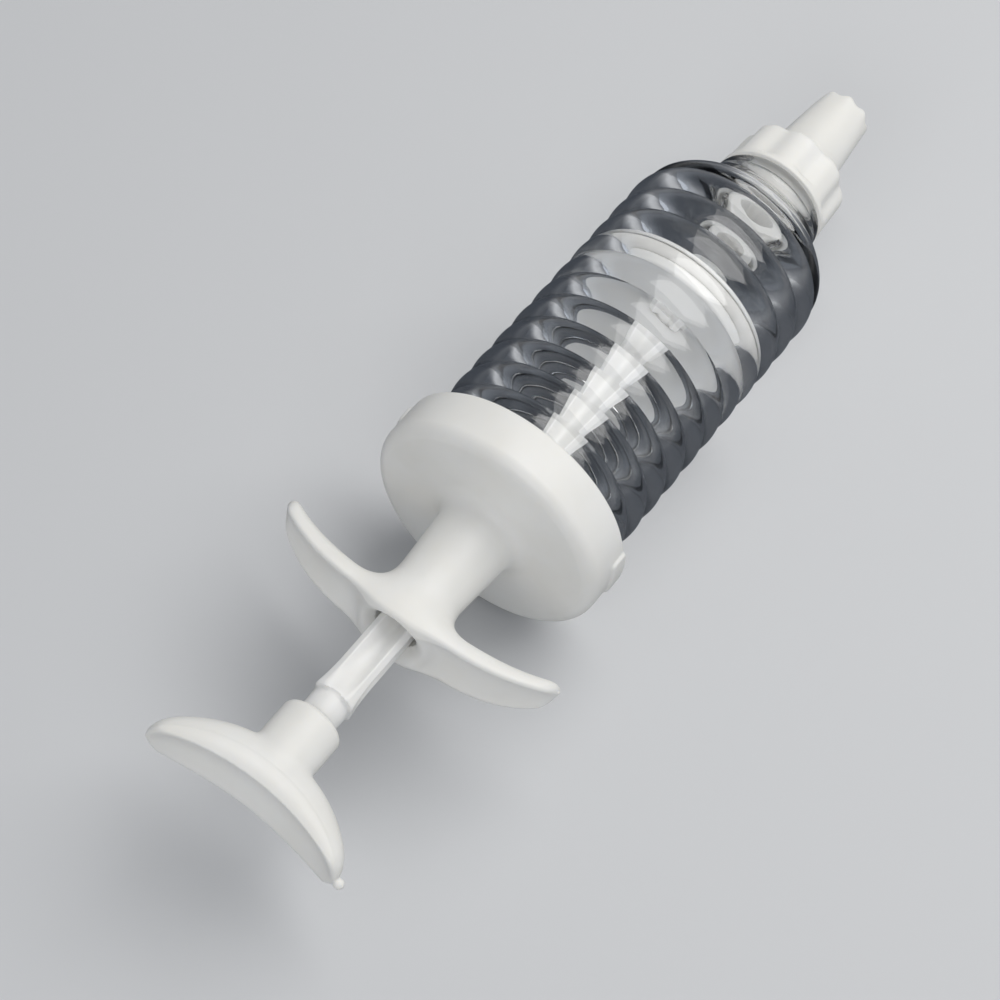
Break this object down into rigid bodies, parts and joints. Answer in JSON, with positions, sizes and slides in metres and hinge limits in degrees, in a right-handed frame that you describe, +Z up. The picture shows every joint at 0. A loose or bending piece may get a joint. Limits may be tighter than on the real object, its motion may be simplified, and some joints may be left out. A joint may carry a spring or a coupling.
{
  "type": "meat injector",
  "caption": "Piston food injector: clear ribbed barrel, white bayonet cap with finger wings, plunger with a dished thumb rest, and a screw-on star nozzle.",
  "frame": {"origin": "centre of the bounding box at rest, on the barrel's axis", "axes": "+X along the barrel's axis towards the nozzle, +Y along the right finger wing seen from the thumb rest with +Z up"},
  "size_m": [0.2212, 0.0678, 0.054],
  "materials": {
    "clear_plastic": "clear, glossy",
    "white_plastic": "satin",
    "seal_silicone": "soft, matte"
  },
  "bodies": {
    "barrel": {"barrel": "clear_plastic"},
    "cap": {"rear_cap": "white_plastic"},
    "piston": {"piston": "white_plastic", "piston_seal": "seal_silicone"},
    "plunger": {"plunger_rod": "white_plastic", "thumb_rest": "white_plastic"},
    "nozzle": {"star_nozzle": "white_plastic"},
    "coupler": {"coupler_nut": "white_plastic"}
  },
  "joints": [
    {"name": "piston_slide", "type": "slide", "parent": "barrel", "child": "piston", "axis": [1, 0, 0], "range_m": [-0.06, 0.019]},
    {"name": "plunger_spin", "type": "hinge", "parent": "piston", "child": "plunger", "pos_m": [0.0381, 0, 0], "axis": [1, 0, 0], "continuous": true},
    {"name": "cap_twist", "type": "hinge", "parent": "barrel", "child": "cap", "pos_m": [-0.0223, 0, 0], "axis": [-1, 0, 0], "range_deg": [0, 90]},
    {"name": "nozzle_slide", "type": "slide", "parent": "barrel", "child": "nozzle", "axis": [1, 0, 0], "range_m": [0, 0.0046]},
    {"name": "coupler_unscrew", "type": "hinge", "parent": "nozzle", "child": "coupler", "pos_m": [0.0839, 0, 0], "axis": [1, 0, 0], "range_deg": [0, 540]}
  ],
  "couplings": [
    {"joint": "nozzle_slide", "follows": "coupler_unscrew", "m_per_rad": 0.00047746}
  ]
}
